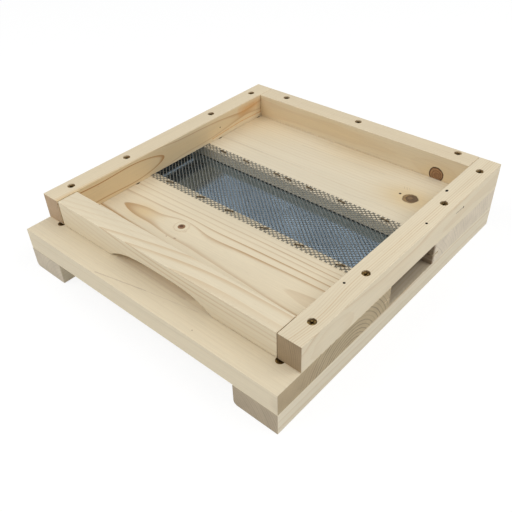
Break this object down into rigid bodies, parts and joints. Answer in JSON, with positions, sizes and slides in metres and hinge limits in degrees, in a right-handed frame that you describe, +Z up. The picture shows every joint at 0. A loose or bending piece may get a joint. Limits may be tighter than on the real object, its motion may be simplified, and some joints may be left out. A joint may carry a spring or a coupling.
{
  "type": "hive bottom board",
  "caption": "Square pine floor for a beehive: runners, boards with a stapled vent mesh over a slide-in sheet, and a frame with an arched bee entrance.",
  "frame": {"origin": "on the ground under the middle of the board", "axes": "+X to the right seen from the entrance, +Y from the entrance to the back, +Z up"},
  "size_m": [0.35, 0.38, 0.08],
  "materials": {
    "frame_pine": "planed, unfinished pine",
    "floor_pine": "planed, unfinished pine",
    "runner_pine": "planed, unfinished pine",
    "galvanised_mesh": "dull zinc",
    "bright_sheet": "smooth, bright",
    "screw_steel": "yellow zinc plate",
    "staple_steel": "dull bronze"
  },
  "bodies": {
    "board": {"left_runner": "runner_pine", "right_runner": "runner_pine", "front_floor_board": "floor_pine", "rear_floor_board": "floor_pine", "left_side_rail": "frame_pine", "right_side_rail": "frame_pine", "rear_rail": "frame_pine", "vent_mesh": "galvanised_mesh", "left_front_rail_screws": "screw_steel", "left_rear_rail_screws": "screw_steel", "right_front_rail_screws": "screw_steel", "right_rear_rail_screws": "screw_steel", "rear_rail_screws": "screw_steel", "left_front_floor_screws": "screw_steel", "left_rear_floor_screws": "screw_steel", "right_front_floor_screws": "screw_steel", "right_rear_floor_screws": "screw_steel", "front_mesh_staples": "staple_steel", "rear_mesh_staples": "staple_steel"},
    "sheet": {"slide_sheet": "bright_sheet"},
    "entrance": {"entrance_block": "frame_pine"}
  },
  "joints": [
    {"name": "sheet_slide", "type": "slide", "parent": "board", "child": "sheet", "axis": [-1, 0, 0], "range_m": [0, 0.3]},
    {"name": "entrance_pull", "type": "slide", "parent": "board", "child": "entrance", "axis": [0, -1, 0], "range_m": [0, 0.03]}
  ]
}
